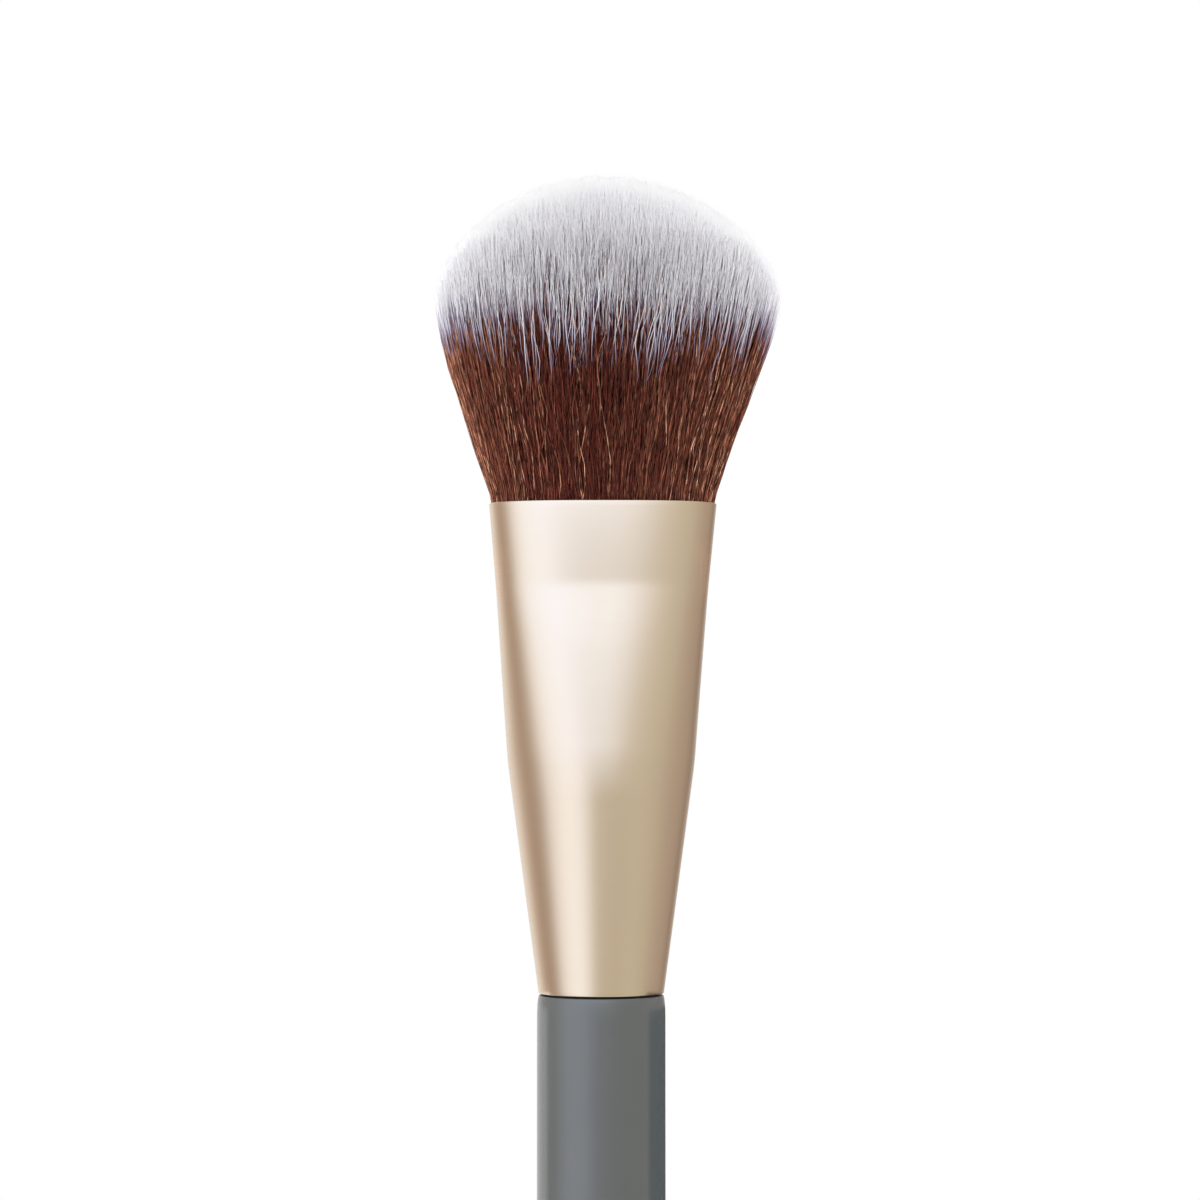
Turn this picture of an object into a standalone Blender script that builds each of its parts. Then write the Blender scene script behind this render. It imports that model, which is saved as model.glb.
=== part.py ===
"""Blush brush: a turned and lacquered handle, a metal ferrule pressed from round to oval, and a domed tuft.

The brush stands on its butt. The origin is the middle of the butt's flat face, +Z runs along the brush to
the tips, and +X runs across the wide side of the oval ferrule. Sizes are in metres.
"""

import math
import random

import bmesh
import bpy
import numpy as np
from mathutils import Vector

MM = 0.001

# Handle: one turned piece, a straight grip with a glued tenon that goes up into the ferrule
HANDLE_LENGTH = 93.25 * MM  # butt to shoulder, all of the handle that shows
HANDLE_DIAMETER = 12.8 * MM
BUTT_ROUNDING = 2.4 * MM
SHOULDER_ROUNDING_HEIGHT = 2.3 * MM
SHOULDER_ROUNDING_DEPTH = 0.22 * MM
TENON_LENGTH = 16.0 * MM
TENON_CHAMFER = 0.8 * MM
GROOVE_COUNT = 3
GROOVE_WIDTH = 1.2 * MM
GROOVE_DEPTH = 0.4 * MM

# Ferrule: a cone from the heel to the waist, then pressed from round to oval, then a parallel lip
FERRULE_LENGTH = 48.95 * MM
FERRULE_WALL = 0.35 * MM
HEEL_STEP = 0.155 * MM  # the heel's radius is this much less than the handle's
WAIST_DIAMETER = 18.66 * MM
SIDE_WAIST_RISE = 0.9 * MM  # how much higher the two sides turn than the front and the back
PRESSED_LENGTH = 18.5 * MM
PRESS_SHARES = (0.14, 0.32, 0.57)  # how much of the pressing is done at even steps up the pressed length
LIP_LENGTH = 8.3 * MM
LIP_FLARE = 1.54 * MM  # how much wider the mouth is than the foot of the lip
LIP_PINCH = 0.46 * MM  # how much shallower the mouth is than the foot of the lip
LIP_PINCH_POWER = 3  # 1 would be a straight lip, more curves it in towards the mouth
MOUTH_WIDTH = 22.8 * MM
MOUTH_DEPTH = 14.3 * MM
WAIST_ROUNDING = 1.3 * MM  # along the ferrule, to each side of the corner
PRESS_ROUNDING = 2.8 * MM  # the same, where the front and the back start to flatten
CREASE_ROUNDING = 0.45 * MM
EDGE_ROUNDING = 0.1 * MM
LEAST_RISE = 0.06 * MM  # sections nearer to each other than this are left out
MOUTH_SQUARENESS = 2.5  # power of the section's outline: 2 is an ellipse, more is boxier
LIP_SECTION_SHARES = (0.35, 0.65, 0.85)  # where up the curved lip its sections lie

# Tuft: strands fanned out from a slice of packed roots just inside the mouth
HEAD_WIDTH = 35.5 * MM
HEAD_DEPTH = 24.0 * MM
HEAD_LENGTH = 33.0 * MM  # mouth to the highest tip
BELLY_HEIGHT = 20.2 * MM  # mouth to the lowest tips, where the head is widest
HEAD_LEAN = 0.7 * MM  # the belly's shift to +X
DOME_POWER = 1.85  # power of the dome's outline: 2 is an ellipse, less is more pointed
BEND_ALONG_SHARE = 0.80  # a strand runs straight this far, then turns up to its tip
BEND_ACROSS_SHARE = 0.89
STRAND_PITCH = 0.73 * MM
STRAND_ROOT_SHARE = 0.36  # radii, as shares of the pitch
STRAND_BEND_SHARE = 0.55
STRAND_TIP_SHARE = 0.20
STRAND_SIDES = 3
TIP_SCATTER = 0.4 * MM  # how much shorter than the dome a tip may end
TIP_STAGGER_SHARE = 0.35  # how far in towards the next row a tip may lean, as a share of the way there
SLICE_SETBACK = 0.4 * MM  # mouth to the top of the packed roots
SLICE_THICKNESS = 3.0 * MM
STRAND_EMBED = 1.2 * MM  # how deep each strand is sunk into the slice
SEED = 11

# Resin that pots the roots, and glue round the tenon
POTTING_DEPTH = 12.0 * MM
POTTING_DISH = 0.9 * MM
POTTING_DISH_SHARE = 0.7  # the dished part of the underside, as a share of its width
GLUE_SETBACK = 1.5 * MM  # heel to the glue
GLUE_SHORTFALL = 1.0 * MM  # glue to the end of the tenon

# Clearances
JOINT_GAP = 0.2 * MM  # shoulder to heel, the dark line that shows
TENON_CLEARANCE = 0.3 * MM  # tenon to the ferrule's wall, at the heel
GLUE_CLEARANCE = 0.1 * MM
ROOT_CLEARANCE = 0.3 * MM  # packed roots to the ferrule's wall, and to the resin
POTTING_CLEARANCE = 0.15 * MM

FACETS = 48
ARC_STEPS = 5
OVAL_STEPS = 720
GAP_LEVELS = 24
SHARP_ANGLE = math.radians(35)
WELD_DISTANCE = 0.001 * MM

# Heights above the butt that several pieces share
HEEL = HANDLE_LENGTH + JOINT_GAP
MOUTH = HEEL + FERRULE_LENGTH
CREASE = MOUTH - LIP_LENGTH
WAIST = CREASE - PRESSED_LENGTH
SIDE_WAIST = WAIST + SIDE_WAIST_RISE
SLICE_TOP = MOUTH - SLICE_SETBACK
SLICE_FOOT = SLICE_TOP - SLICE_THICKNESS
POTTING_TOP = SLICE_FOOT - ROOT_CLEARANCE
POTTING_FOOT = POTTING_TOP - POTTING_DEPTH

HANDLE_RADIUS = HANDLE_DIAMETER / 2
HEEL_RADIUS = HANDLE_RADIUS - HEEL_STEP
TENON_RADIUS = HEEL_RADIUS - FERRULE_WALL - TENON_CLEARANCE


def clear_scene():
    for old in list(bpy.data.objects):
        bpy.data.objects.remove(old)


def material(name, colour, roughness, metallic=0.0):
    """A Principled material with one colour, roughness and metallic value."""
    made = bpy.data.materials.new(name)
    made.use_nodes = True
    shader = made.node_tree.nodes["Principled BSDF"]
    shader.inputs["Base Color"].default_value = (*colour, 1.0)
    shader.inputs["Roughness"].default_value = roughness
    shader.inputs["Metallic"].default_value = metallic
    made.diffuse_color = (*colour, 1.0)
    return made


def add_object(name, shape, finish):
    """Turns a bmesh into an object with this material, smooth but for its sharp edges."""
    bmesh.ops.recalc_face_normals(shape, faces=shape.faces)
    mesh = bpy.data.meshes.new(name)
    shape.to_mesh(mesh)
    shape.free()
    mesh.shade_smooth()
    mesh.set_sharp_from_angle(angle=SHARP_ANGLE)
    mesh.materials.append(finish)
    made = bpy.data.objects.new(name, mesh)
    bpy.context.scene.collection.objects.link(made)
    return made


def turned(name, profile, finish, closed=False):
    """Spins a profile of (radius, height) points about Z. A closed profile makes a ring."""
    shape = bmesh.new()
    verts = [shape.verts.new((radius, 0, height)) for radius, height in profile]
    ends = list(zip(verts, verts[1:]))
    if closed:
        ends.append((verts[-1], verts[0]))
    edges = [shape.edges.new(pair) for pair in ends]
    bmesh.ops.spin(
        shape,
        geom=verts + edges,
        axis=(0, 0, 1),
        cent=(0, 0, 0),
        angle=math.tau,
        steps=FACETS,
        use_merge=True,
    )
    bmesh.ops.remove_doubles(shape, verts=shape.verts, dist=WELD_DISTANCE)
    return add_object(name, shape, finish)


def quarter_arc(start, corner, end):
    """Points of a quarter ellipse from start to end, both (radius, height), bulging towards corner."""
    start, corner, end = (Vector(point) for point in (start, corner, end))
    middle = start + end - corner
    points = []
    for step in range(ARC_STEPS + 1):
        angle = math.pi / 2 * step / ARC_STEPS
        point = middle + (start - middle) * math.cos(angle) + (end - middle) * math.sin(angle)
        points.append(tuple(point))
    return points


def handle_profile():
    """The handle's half outline, from the middle of the butt to the middle of the tenon's end."""
    tenon_end = HANDLE_LENGTH + TENON_LENGTH
    butt = quarter_arc(
        (HANDLE_RADIUS - BUTT_ROUNDING, 0.0),
        (HANDLE_RADIUS, 0.0),
        (HANDLE_RADIUS, BUTT_ROUNDING),
    )
    shoulder = quarter_arc(
        (HANDLE_RADIUS, HANDLE_LENGTH - SHOULDER_ROUNDING_HEIGHT),
        (HANDLE_RADIUS, HANDLE_LENGTH),
        (HANDLE_RADIUS - SHOULDER_ROUNDING_DEPTH, HANDLE_LENGTH),
    )
    tenon = [(TENON_RADIUS, HANDLE_LENGTH)]
    for index in range(GROOVE_COUNT):
        middle = HANDLE_LENGTH + TENON_LENGTH * (index + 1) / (GROOVE_COUNT + 1)
        tenon.append((TENON_RADIUS, middle - GROOVE_WIDTH / 2))
        tenon.append((TENON_RADIUS - GROOVE_DEPTH, middle))
        tenon.append((TENON_RADIUS, middle + GROOVE_WIDTH / 2))
    tenon.append((TENON_RADIUS, tenon_end - TENON_CHAMFER))
    tenon.append((TENON_RADIUS - TENON_CHAMFER, tenon_end))
    return [(0.0, 0.0), *butt, *shoulder, *tenon, (0.0, tenon_end)]


def ramp(past, rounding):
    """How far a line has turned, this far past a corner that is rounded over this length each side."""
    if past <= -rounding:
        return 0.0
    if past >= rounding:
        return past
    return (past + rounding) ** 2 / (4 * rounding)


def rounded_line(height, knots):
    """The size at a height on a line through (height, size, rounding) knots, with its corners rounded."""
    first_height, size, _ = knots[0]
    slopes = [(upper[1] - lower[1]) / (upper[0] - lower[0]) for lower, upper in zip(knots, knots[1:])]
    size += slopes[0] * (height - first_height)
    for (corner, _, rounding), before, after in zip(knots[1:], slopes, slopes[1:]):
        size += (after - before) * ramp(height - corner, rounding)
    return size


def width_knots():
    """Half the ferrule's width: a cone, then a gentler cone, then the slightly flared lip."""
    mouth = MOUTH_WIDTH / 2
    return [
        (HEEL, HEEL_RADIUS, 0.0),
        (SIDE_WAIST, WAIST_DIAMETER / 2, WAIST_ROUNDING),
        (CREASE, mouth - LIP_FLARE / 2, CREASE_ROUNDING),
        (MOUTH, mouth, 0.0),
    ]


def depth_knots():
    """Half the ferrule's depth: the same cone, then pressed in step by step up to the crease, then level."""
    taper = (WAIST_DIAMETER / 2 - HEEL_RADIUS) / (SIDE_WAIST - HEEL)
    waist, crease = HEEL_RADIUS + taper * (WAIST - HEEL), (MOUTH_DEPTH + LIP_PINCH) / 2
    step = PRESSED_LENGTH / (len(PRESS_SHARES) + 1)
    knots = [(HEEL, HEEL_RADIUS, 0.0), (WAIST, waist, PRESS_ROUNDING)]
    for index, share in enumerate(PRESS_SHARES, 1):
        knots.append((WAIST + index * step, waist + share * (crease - waist), step / 2))
    knots.append((CREASE, crease, CREASE_ROUNDING))
    knots.append((MOUTH, crease, 0.0))
    return knots


def ferrule_half_sizes(height):
    """The ferrule's outer half width and half depth at a height."""
    up_lip = min(1.0, max(0.0, (height - CREASE) / LIP_LENGTH))
    pinch = LIP_PINCH / 2 * up_lip**LIP_PINCH_POWER
    return rounded_line(height, width_knots()), rounded_line(height, depth_knots()) - pinch


def squareness(height):
    """2 where the ferrule is round, up to the mouth's own power at the crease and above."""
    pressed = min(1.0, max(0.0, (height - WAIST) / PRESSED_LENGTH))
    return 2 + (MOUTH_SQUARENESS - 2) * pressed


def section(height, inset):
    """The ferrule's outline at a height, this far inside its outer face, as points."""
    half_width, half_depth = (size - inset for size in ferrule_half_sizes(height))
    power = 2 / squareness(height)
    points = []
    for index in range(FACETS):
        angle = math.tau * index / FACETS
        across, deep = math.cos(angle), math.sin(angle)
        x = half_width * math.copysign(abs(across) ** power, across)
        y = half_depth * math.copysign(abs(deep) ** power, deep)
        points.append(Vector((x, y, height)))
    return points


def section_heights(low, high):
    """Heights from low to high, with those between where the ferrule's line turns."""
    turns = []
    for corner, rounding, steps in ((WAIST, PRESS_ROUNDING, 4), (CREASE, CREASE_ROUNDING, 2)):
        turns += [corner + rounding * step / steps for step in range(-steps, steps + 1)]
    pressed_steps = 2 * (len(PRESS_SHARES) + 1)
    turns += [WAIST + PRESSED_LENGTH * step / pressed_steps for step in range(2, pressed_steps)]
    turns += [CREASE + LIP_LENGTH * share for share in LIP_SECTION_SHARES]
    heights = [low]
    for height in sorted(turns):
        if height > heights[-1] + LEAST_RISE and height < high - LEAST_RISE:
            heights.append(height)
    return [*heights, high]


def add_loop(shape, points):
    """Adds a closed loop of edges through points and returns the edges."""
    verts = [shape.verts.new(point) for point in points]
    return [shape.edges.new((verts[i - 1], verts[i])) for i in range(len(verts))]


def lofted(name, outlines, finish, closed=False):
    """Bridges a row of outlines: a closed row makes a tube wall, and an open one gets a face at each end."""
    shape = bmesh.new()
    loops = [add_loop(shape, points) for points in outlines]
    pairs = list(zip(loops, loops[1:]))
    if closed:
        pairs.append((loops[-1], loops[0]))
    for lower, upper in pairs:
        bmesh.ops.bridge_loops(shape, edges=lower + upper)
    if not closed:
        for loop in (loops[0], loops[-1]):
            bmesh.ops.contextual_create(shape, geom=loop)
    return add_object(name, shape, finish)


def make_handle(finish):
    return turned("handle", handle_profile(), finish)


def make_ferrule(finish):
    """The wall goes up the outer face and down the inner one, with its two edges softened."""
    outer = [section(HEEL, EDGE_ROUNDING)]
    outer += [section(height, 0.0) for height in section_heights(HEEL + EDGE_ROUNDING, MOUTH - EDGE_ROUNDING)]
    outer.append(section(MOUTH, EDGE_ROUNDING))
    inner = [section(height, FERRULE_WALL) for height in reversed(section_heights(HEEL, MOUTH))]
    return lofted("ferrule", outer + inner, finish, closed=True)


def make_potting(finish):
    """Resin cast round the roots: it fills the ferrule's bore, and its underside is dished."""
    inset = FERRULE_WALL + POTTING_CLEARANCE
    dish = [
        Vector((point.x * POTTING_DISH_SHARE, point.y * POTTING_DISH_SHARE, POTTING_FOOT + POTTING_DISH))
        for point in section(POTTING_FOOT, inset)
    ]
    outlines = [dish] + [section(height, inset) for height in section_heights(POTTING_FOOT, POTTING_TOP)]
    return lofted("potting_resin", outlines, finish)


def make_tenon_glue(finish):
    """A wedge of set glue between the straight tenon and the ferrule's widening bore."""
    inner = TENON_RADIUS + GLUE_CLEARANCE
    heights = section_heights(HEEL + GLUE_SETBACK, HANDLE_LENGTH + TENON_LENGTH - GLUE_SHORTFALL)
    profile = [(inner, heights[-1]), (inner, heights[0])]
    for height in heights:
        bore = min(ferrule_half_sizes(height)) - FERRULE_WALL
        profile.append((bore - GLUE_CLEARANCE, height))
    return turned("tenon_glue", profile, finish, closed=True)


def oval_row(half_width, half_depth):
    """Points about a strand's pitch apart along an oval, as (x, y), with one at each of its ends."""
    angles = np.linspace(0, math.tau, OVAL_STEPS + 1)
    points = np.stack([half_width * np.cos(angles), half_depth * np.sin(angles)], axis=1)
    along = np.concatenate([[0], np.cumsum(np.linalg.norm(np.diff(points, axis=0), axis=1))])
    count = 2 * round(along[-1] / STRAND_PITCH / 2)
    places = along[-1] * np.arange(count) / count
    return [tuple(np.interp(place, along, points[:, i]) for i in range(2)) for place in places]


def root_places(half_width, half_depth):
    """Where the roots stand, as (x, y): ovals one inside another, round a straight row in the middle."""
    rows = round(half_depth / STRAND_PITCH)
    step = half_depth / rows
    places = []
    for row in range(rows):
        places += oval_row(half_width - row * step, half_depth - row * step)
    reach = half_width - half_depth - step
    count = round(2 * reach / STRAND_PITCH) + 1
    places += [(x, 0.0) for x in np.linspace(-reach, reach, count)]
    return places


def strand_lines():
    """Every strand as its root, bend and tip points, fanned out from its place among the roots."""
    scatter = random.Random(SEED)
    mouth_width, mouth_depth = ferrule_half_sizes(SLICE_TOP)
    inset = FERRULE_WALL + ROOT_CLEARANCE + STRAND_PITCH / 2
    widest, deepest = mouth_width - inset, mouth_depth - inset
    row_share = STRAND_PITCH / deepest
    lines = []
    for x, y in root_places(widest, deepest):
        inward = 1 - TIP_STAGGER_SHARE * row_share * scatter.random()
        across, deep = x / widest * inward, y / deepest * inward
        spread = min(1.0, math.hypot(across, deep))
        rise = (1 - spread**DOME_POWER) ** (1 / DOME_POWER)
        height = BELLY_HEIGHT + (HEAD_LENGTH - BELLY_HEIGHT) * rise - TIP_SCATTER * scatter.random()
        root = Vector((x, y, SLICE_TOP))
        tip_x = across * HEAD_WIDTH / 2 + HEAD_LEAN * spread**2
        tip = Vector((tip_x, deep * HEAD_DEPTH / 2, MOUTH + height))
        bend = root + (tip - root) * BEND_ACROSS_SHARE
        bend.z = root.z + (tip.z - root.z) * BEND_ALONG_SHARE
        lines.append((root, bend, tip))
    return lines


def least_gap(lines):
    """The least gap between two strands, measured at even heights between their middles, less their radii."""
    radii = STRAND_PITCH * np.array([STRAND_ROOT_SHARE, STRAND_BEND_SHARE, STRAND_TIP_SHARE])
    nearest = math.inf
    for height in np.linspace(SLICE_TOP, MOUTH + HEAD_LENGTH, GAP_LEVELS):
        rings = []
        for line in lines:
            heights = [point.z for point in line]
            if height <= heights[-1]:
                place = [np.interp(height, heights, [point[i] for point in line]) for i in range(2)]
                rings.append((*place, np.interp(height, heights, radii)))
        if len(rings) < 2:
            continue
        x, y, radius = np.array(rings).T
        apart = np.hypot(x[:, None] - x, y[:, None] - y) - radius[:, None] - radius
        np.fill_diagonal(apart, math.inf)
        nearest = min(nearest, apart.min())
    return nearest


def strand_outlines(root, bend, tip):
    """A strand's outlines from below the slice's top to its tip, one flat side facing out."""
    outward = math.atan2(root.y, root.x)
    foot = root - Vector((0, 0, STRAND_EMBED))
    shares = (STRAND_ROOT_SHARE, STRAND_ROOT_SHARE, STRAND_BEND_SHARE, STRAND_TIP_SHARE)
    for middle, share in zip((foot, root, bend, tip), shares):
        radius = STRAND_PITCH * share
        turns = [outward + math.tau * (side + 0.5) / STRAND_SIDES for side in range(STRAND_SIDES)]
        yield [middle + Vector((math.cos(turn), math.sin(turn), 0)) * radius for turn in turns]


def make_strands(lines, finish):
    """All strands in one helper object, each a closed three-sided spike."""
    shape = bmesh.new()
    for line in lines:
        loops = [[shape.verts.new(point) for point in outline] for outline in strand_outlines(*line)]
        for lower, upper in zip(loops, loops[1:]):
            for side in range(STRAND_SIDES):
                shape.faces.new((lower[side - 1], lower[side], upper[side], upper[side - 1]))
        shape.faces.new(reversed(loops[0]))
        shape.faces.new(loops[-1])
    helper = add_object("strand_helper", shape, finish)
    helper.hide_render = True
    helper.display_type = "WIRE"
    return helper


def make_tuft(finish):
    """The packed roots, a slice that follows the ferrule's bore, with every strand fused to it."""
    lines = strand_lines()
    print(f"{len(lines)} strands, least gap {least_gap(lines) / MM:.2f} mm")
    inset = FERRULE_WALL + ROOT_CLEARANCE
    outlines = [section(height, inset) for height in section_heights(SLICE_FOOT, SLICE_TOP)]
    tuft = lofted("bristle_tuft", outlines, finish)
    fuse = tuft.modifiers.new("fuse_strands", "BOOLEAN")
    fuse.operation = "UNION"
    fuse.solver = "EXACT"
    fuse.object = make_strands(lines, finish)
    return tuft


def main():
    clear_scene()
    lacquer = material("handle_lacquer", (0.165, 0.180, 0.181), 0.45)
    champagne = material("ferrule_champagne", (0.72, 0.58, 0.42), 0.3, metallic=1.0)
    filament = material("filament", (0.09, 0.028, 0.018), 0.5)
    resin = material("resin", (0.62, 0.50, 0.30), 0.25)
    glue = material("glue", (0.80, 0.78, 0.70), 0.5)
    brush = bpy.data.objects.new("blush_brush", None)
    bpy.context.scene.collection.objects.link(brush)
    pieces = (
        make_handle(lacquer),
        make_ferrule(champagne),
        make_tuft(filament),
        make_potting(resin),
        make_tenon_glue(glue),
    )
    for piece in pieces:
        piece.parent = brush


main()
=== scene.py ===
"""Looks of the blush brush: champagne ferrule, grey lacquered handle and a tuft of two-tone filaments."""

import math

import bpy
import numpy as np
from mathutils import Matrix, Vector


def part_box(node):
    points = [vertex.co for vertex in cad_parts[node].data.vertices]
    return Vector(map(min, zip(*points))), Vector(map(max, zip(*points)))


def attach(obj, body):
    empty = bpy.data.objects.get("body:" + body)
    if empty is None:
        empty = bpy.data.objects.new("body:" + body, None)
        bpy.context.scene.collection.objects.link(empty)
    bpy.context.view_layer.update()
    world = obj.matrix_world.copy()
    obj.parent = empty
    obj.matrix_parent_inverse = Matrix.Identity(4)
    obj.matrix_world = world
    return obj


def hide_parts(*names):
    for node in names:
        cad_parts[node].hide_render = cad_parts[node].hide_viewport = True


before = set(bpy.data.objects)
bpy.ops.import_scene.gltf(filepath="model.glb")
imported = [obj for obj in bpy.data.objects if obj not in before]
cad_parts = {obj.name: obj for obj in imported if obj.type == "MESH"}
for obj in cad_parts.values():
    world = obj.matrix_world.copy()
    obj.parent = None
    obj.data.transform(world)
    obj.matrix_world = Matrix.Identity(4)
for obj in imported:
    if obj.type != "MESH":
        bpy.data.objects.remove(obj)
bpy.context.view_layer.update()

MM = 0.001

# Places that come from the frame
ferrule_low, ferrule_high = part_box("ferrule")
_, handle_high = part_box("handle")
HEEL = ferrule_low.z + 0.15 * MM  # the joint, as high as in the photo
MOUTH = ferrule_high.z
MOUTH_HALF_WIDTH = ferrule_high.x

# Ferrule, as the metal tube was pressed
HANDLE_RADIUS = handle_high.x
HEEL_RADIUS = HANDLE_RADIUS - 0.155 * MM
WAIST_RADIUS = 9.33 * MM
SIDE_WAIST_RISE = 0.9 * MM  # how much higher the two sides turn than the front and the back
MOUTH_HALF_DEPTH = 7.15 * MM
MOUTH_LEAN = 0.165 * MM  # the mouth's shift to +X; the waist has none
MOUTH_LEAN_POWER = 1.5  # 1 leans evenly from the waist up, and more leans mostly near the mouth
LIP_LENGTH = 8.3 * MM
PRESSED_LENGTH = 18.5 * MM
LIP_FLARE = 0.77 * MM
LIP_PINCH = 0.23 * MM
LIP_PINCH_POWER = 3  # 1 pinches the lip evenly, and more pinches it mostly near the mouth
PRESS_SHARES = (0.14, 0.32, 0.57)  # how much of the pressing is done at even steps up the pressed length
WALL = 0.35 * MM
WAIST_ROUNDING = 1.3 * MM
PRESS_ROUNDING = 2.8 * MM
CREASE_ROUNDING = 0.45 * MM
EDGE_ROUNDING = 0.1 * MM
SHARP_ANGLE = math.radians(35)
MOUTH_SQUARENESS = 2.5  # power of the section's outline: 2 is an ellipse, more is boxier
FERRULE_SIDES = 192
FERRULE_LEVELS = 110
INNER_STRIDE = 4  # the inner face has one level for so many of the outer one
EDGE_STEPS = 5
CREASE = MOUTH - LIP_LENGTH
WAIST = CREASE - PRESSED_LENGTH
SIDE_WAIST = WAIST + SIDE_WAIST_RISE

# Handle, a turned piece whose tenon goes up into the ferrule
BUTT_ROUNDING = 2.4 * MM
SHOULDER = HEEL - 0.2 * MM
SHOULDER_HEIGHT = 2.3 * MM
SHOULDER_DEPTH = 0.22 * MM
TENON_RADIUS = HEEL_RADIUS - WALL - 0.3 * MM
TENON_CHAMFER = 0.8 * MM
HANDLE_SIDES = 192
ARC_STEPS = 12

# Head, the outline that the filaments' tips reach
HEAD_HALF_WIDTH = 17.5 * MM
HEAD_HALF_DEPTH = 11.9 * MM
HEAD_LENGTH = 33.3 * MM
BELLY_HEIGHT = 20.2 * MM
BELLY_LEAN = 0.7 * MM  # the belly's shift to +X; the top of the dome has the mouth's
DOME_POWER = 1.86
HEAD_SIZE = np.array([HEAD_HALF_WIDTH, HEAD_HALF_DEPTH])

# Filaments
FILAMENTS = 29000
FILAMENT_RADIUS = 0.043 * MM
FILAMENT_TIP_RADIUS = 0.012 * MM
TAPER_LENGTH = 5.0 * MM
THICKNESSES = (0.8, 1.2)  # least and most thickness, as shares of the usual one
TUBE_SIDES = 3
SKIN_SHARE = 0.78  # filaments further out than this share are drawn down to their roots
ROOT_DEPTH = 2.5 * MM
CORE_LENGTH = 15.0 * MM  # filaments further in are drawn only this far down from their tips
SKIN_STEPS = np.array(
    [0, 0.08, 0.16, 0.24, 0.32, 0.40, 0.48, 0.55, 0.62, 0.69, 0.75, 0.81, 0.87, 0.92, 0.96, 1]
)
CORE_STEPS = np.array([0, 0.2, 0.4, 0.58, 0.75, 0.88, 1])
ROOT_INSET = WALL + 1.5 * FILAMENT_RADIUS
ROOT_SIZE = np.array([MOUTH_HALF_WIDTH - ROOT_INSET, MOUTH_HALF_DEPTH - ROOT_INSET])
PLACE_SCATTER = 0.25  # how far a filament stands from its even place, in about half gaps between them
TIP_SCATTER = 0.08 * MM
TIP_SHORTFALL = 0.1 * MM  # how much shorter than the dome a filament ends on average
BULGE = 0.055  # how much further out a filament runs on its way than straight to its tip, as a share
STRAY_SHARE = 0.002
STRAY_REACH = 1.05  # how far out the tip of a stray filament may stand, as a share of the head's size

# Clumps that the filaments gather in
CLUMPS = 7000
CLUMP_SCATTER = 0.3  # how far a clump stands from its even place, in about half gaps between them
CLUMP_PULLS = (0.3, 0.8)  # least and most of the way that filaments go to the middle of their clump
CLUMP_PULL_POWER = 2.4  # where along a filament that is: more is nearer to its tip
CLUMP_SHORTFALL = 0.15 * MM  # how much shorter still a whole clump may end
NEAREST_BLOCK = 1000

# Sway of the filaments. The outermost lose part of it inwards and outwards, so that the sides stay clean
WAVES = np.array([0.20, 0.16, 0.14, 0.13, 0.11, 0.09, 0.07]) * MM  # by half waves along a filament
WANDERING_SHARE = 0.05  # a few filaments sway this many times further in their longest waves
WANDERING = 1.8
WANDERING_WAVES = 3
STILLED = 0.35  # share that is lost at the front and the back
STILLED_MORE = 0.5  # and how much more of it at the two sides
STILLED_FROM = 0.75  # share of the way out at which the loss starts
STILLED_OVER = 0.2  # and how much further out it is full

# Dye: each filament is pale from its tip down to a place of its own
UNDYED_LEAST = 0.6 * MM  # from the tip to the dye, at the front and the back
UNDYED_EVEN = 4.8 * MM  # how much more it is at least in the middle and at the sides
UNDYED_EVEN_POWER = 1.5
UNDYED_MOST = 10.2 * MM
UNDYED_BETA = (1.3, 1.65)  # shape of the draws between the least and the most
OWN_DRAW_SHARE = 0.52  # so many filaments have a draw of their own, and the others have their clump's
LONGEST_DRAW = 0.88  # no draw goes further than this towards UNDYED_MOST
SIDE_UNDYED_SHARE = 0.585  # how far down the pale tips reach at the sides, as a share of the front's
LATE_SHARE = 0.006  # a few filaments are pale much further down, by this many millimetres
LATE_MM = (1.0, 6.0)
DYE_PLACE = 4.0 * MM  # where the dye starts on the colour chart
LONGEST = 42.0 * MM  # the length along a filament that the colour chart spans
SHADES = 256
COLUMN_PLACES = (0.3, 0.5, 0.7)  # where in its shade's column of the chart each edge of a tube lies
# Painted light: more tan filaments at both edges stand for backlight, and more at the right stand for
# highlights
TAN_SIDES = (-1.0, -0.93, -0.85, -0.7, -0.4, 0.0, 0.25, 0.5, 0.8, 1.0)  # places across the mouth
TAN_DARKNESS = (0.2, 0.4, 0.9, 1.5, 3.4, 3.2, 2.0, 1.2, 1.0, 0.9)  # and how seldom a filament is tan there
SEED = 7

# Colours of the filaments: browns from the first shade to the last, then the dye's edge and the pale tips
DEEP_BROWN = (0.106, 0.0175, 0.011)
RED_BROWN = (0.20, 0.058, 0.033)
LIGHT_BROWN = (0.32, 0.12, 0.066)
TAN = (0.61, 0.345, 0.225)
VIOLET = (0.29, 0.225, 0.31)
# the lower pale is bluish grey: partly the dye's violet tinge, partly painted shade deeper in the tuft
SHADED_LOWER_PALE = (0.54, 0.505, 0.62)
TIP_PALE = (0.94, 0.935, 0.945)
TO_RED = (0.0, 0.6)  # shares of the shades between which one brown turns into the next
TO_LIGHT = (0.45, 0.85)
TO_TAN = (0.85, 1.0)
PALE_TO_SHADED = (0.5, 4.0)  # millimetres down the chart between which the tip's colour turns into the lower one, greyed partly as painted shade
BLEEDING = (-1.1, -0.1)  # millimetres from the dye's start between which the pale turns violet
DYEING = (0.1, 1.1)  # and the violet brown
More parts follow.
